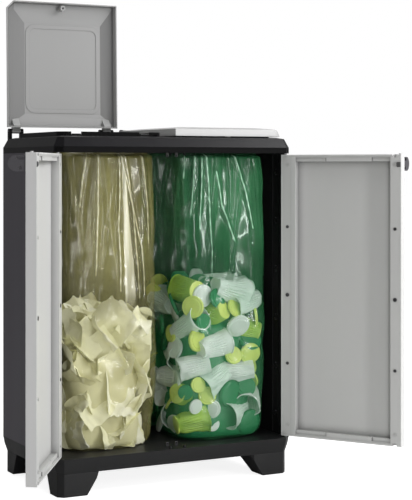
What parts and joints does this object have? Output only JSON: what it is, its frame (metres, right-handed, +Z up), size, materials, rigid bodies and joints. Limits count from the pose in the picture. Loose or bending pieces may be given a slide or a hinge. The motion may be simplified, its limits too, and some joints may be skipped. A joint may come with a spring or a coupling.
{
  "type": "recycling bin station",
  "caption": "Two-bay waste sorting cabinet with tall pivoting doors, tilting lids over collared openings, and a hanging film bag of waste in each bay.",
  "frame": {"origin": "on the floor, under the centre of the cabinet's 680 by 390 mm footprint", "axes": "+X to the cabinet's right as seen from the front, +Y towards its back, +Z up"},
  "size_m": [1.1098, 0.6566, 1.2642],
  "materials": {
    "base_plastic": "satin moulded polypropylene, near black",
    "body_plastic": "fine-grained moulded polypropylene, dark graphite",
    "ring_plastic": "black moulded plastic",
    "pin_steel": "zinc-plated steel",
    "door_plastic": "light grey moulded polypropylene, satin",
    "liner_plastic": "light grey moulded polypropylene, satin",
    "lid_plastic": "light grey moulded polypropylene, satin",
    "olive_film": "translucent olive polyethylene film, glossy, creased",
    "green_film": "translucent green polyethylene film, glossy, creased",
    "crumpled_paper": "crumpled matt paper",
    "cup_plastic": "thin disposable cups and bottles, satin"
  },
  "bodies": {
    "cabinet": {"base_tray": "base_plastic", "foot_front_left": "base_plastic", "foot_front_right": "base_plastic", "foot_rear_left": "base_plastic", "foot_rear_right": "base_plastic", "side_panel_left": "body_plastic", "side_panel_right": "body_plastic", "rear_panel_left": "body_plastic", "rear_panel_right": "body_plastic", "rear_joint_strip": "body_plastic", "rear_panel_screws": "pin_steel", "top_frame": "body_plastic", "door_pivot_pins": "pin_steel", "bag_ring_left": "ring_plastic", "bag_ring_right": "ring_plastic", "bag_clips": "ring_plastic", "bag_left": "olive_film", "bag_right": "green_film", "paper_waste": "crumpled_paper", "cup_waste": "cup_plastic"},
    "left_door": {"left_door_shell": "door_plastic", "left_door_liner": "liner_plastic", "left_door_pull": "body_plastic", "left_door_fixings": "ring_plastic", "left_door_catch": "ring_plastic"},
    "right_door": {"right_door_shell": "door_plastic", "right_door_liner": "liner_plastic", "right_door_pull": "body_plastic", "right_door_fixings": "ring_plastic", "right_door_catch": "ring_plastic"},
    "left_lid": {"left_lid_shell": "lid_plastic", "left_lid_pins": "pin_steel"},
    "right_lid": {"right_lid_shell": "lid_plastic", "right_lid_pins": "pin_steel"}
  },
  "joints": [
    {"name": "left_door_hinge", "type": "hinge", "parent": "cabinet", "child": "left_door", "pos_m": [-0.329, -0.176, 0.4735], "axis": [0, 0, 1], "range_deg": [-5, 122.5]},
    {"name": "right_door_hinge", "type": "hinge", "parent": "cabinet", "child": "right_door", "pos_m": [0.329, -0.176, 0.4735], "axis": [0, 0, -1], "range_deg": [-4, 123.5]},
    {"name": "left_lid_hinge", "type": "hinge", "parent": "cabinet", "child": "left_lid", "pos_m": [-0.166, 0.187, 0.912], "axis": [1, 0, 0], "range_deg": [0, 91]},
    {"name": "right_lid_hinge", "type": "hinge", "parent": "cabinet", "child": "right_lid", "pos_m": [0.166, 0.187, 0.912], "axis": [1, 0, 0], "range_deg": [-91, 0]}
  ]
}
